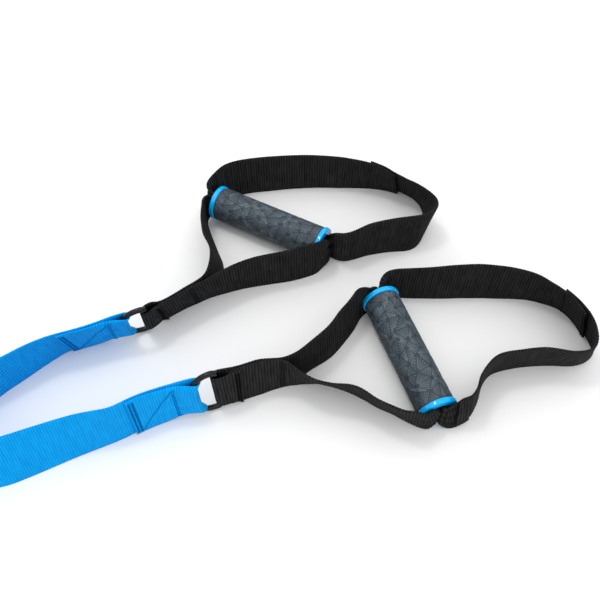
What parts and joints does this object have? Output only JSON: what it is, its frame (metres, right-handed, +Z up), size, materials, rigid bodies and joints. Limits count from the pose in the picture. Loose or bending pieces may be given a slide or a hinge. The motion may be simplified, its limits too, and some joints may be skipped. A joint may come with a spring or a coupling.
{
  "type": "resistance band",
  "caption": "Flat woven band with a spinning grip and a webbing foot loop on a D-ring at each end, spare length coiled and tied",
  "frame": {"origin": "middle of the footprint, on the floor that the webbing stands on", "axes": "+X from the coil towards the foot loops, +Z up, +Y from the near handle to the far one"},
  "size_m": [0.6356, 0.3558, 0.0563],
  "materials": {
    "blue_webbing": "ribbed woven, slight sheen",
    "black_webbing": "ribbed woven, matt",
    "blue_thread": "sewing thread",
    "black_thread": "sewing thread",
    "ring_steel": "gloss black",
    "grip_rubber": "matt, embossed lines",
    "tube_plastic": "matt",
    "blue_plastic": "gloss",
    "hook_and_loop": "napped"
  },
  "bodies": {
    "band": {"band_coil": "blue_webbing", "coil_tie": "hook_and_loop", "band_run_near": "blue_webbing", "band_eye_near": "blue_webbing", "band_stitching_near": "blue_thread", "band_run_far": "blue_webbing", "band_eye_far": "blue_webbing", "band_stitching_far": "blue_thread"},
    "ring_near": {"d_ring_near": "ring_steel"},
    "handle_near": {"handle_tab_near": "black_webbing", "handle_stitching_near": "black_thread", "leg_front_near": "black_webbing", "leg_back_near": "black_webbing", "handle_core_near": "black_webbing", "foot_loop_core_near": "black_webbing", "throat_front_near": "black_webbing", "throat_back_near": "black_webbing", "foot_loop_back_near": "black_webbing", "foot_loop_front_near": "black_webbing"},
    "grip_near": {"grip_tube_near": "tube_plastic", "grip_sleeve_near": "grip_rubber", "end_ring_front_near": "blue_plastic", "end_ring_back_near": "blue_plastic"},
    "ring_far": {"d_ring_far": "ring_steel"},
    "handle_far": {"handle_tab_far": "black_webbing", "handle_stitching_far": "black_thread", "leg_front_far": "black_webbing", "leg_back_far": "black_webbing", "handle_core_far": "black_webbing", "foot_loop_core_far": "black_webbing", "throat_front_far": "black_webbing", "throat_back_far": "black_webbing", "foot_loop_back_far": "black_webbing", "foot_loop_front_far": "black_webbing"},
    "grip_far": {"grip_tube_far": "tube_plastic", "grip_sleeve_far": "grip_rubber", "end_ring_front_far": "blue_plastic", "end_ring_back_far": "blue_plastic"}
  },
  "joints": [
    {"name": "near_ring_swing", "type": "hinge", "parent": "band", "child": "ring_near", "pos_m": [-0.03411, -0.08988, 0.02816], "axis": [-0.0326, 0.0808, 0.9962], "range_deg": [-30, 2]},
    {"name": "near_handle_swing", "type": "hinge", "parent": "ring_near", "child": "handle_near", "pos_m": [-0.01371, -0.08164, 0.02816], "axis": [-0.0326, 0.0808, 0.9962], "range_deg": [-60, 2]},
    {"name": "near_grip_spin", "type": "hinge", "parent": "handle_near", "child": "grip_near", "pos_m": [0.1501, -0.0413, 0.02], "axis": [0.3338, -0.9426, 0], "continuous": true},
    {"name": "far_ring_swing", "type": "hinge", "parent": "band", "child": "ring_far", "pos_m": [-0.10348, -0.01886, 0.02784], "axis": [0.097, -0.24, 0.9659], "range_deg": [-2, 45]},
    {"name": "far_handle_swing", "type": "hinge", "parent": "ring_far", "child": "handle_far", "pos_m": [-0.08309, -0.01062, 0.02784], "axis": [0.097, -0.24, 0.9659], "range_deg": [-2, 60]},
    {"name": "far_grip_spin", "type": "hinge", "parent": "handle_far", "child": "grip_far", "pos_m": [0.0235, 0.1093, 0.02], "axis": [0.8829, -0.4695, 0], "continuous": true}
  ]
}
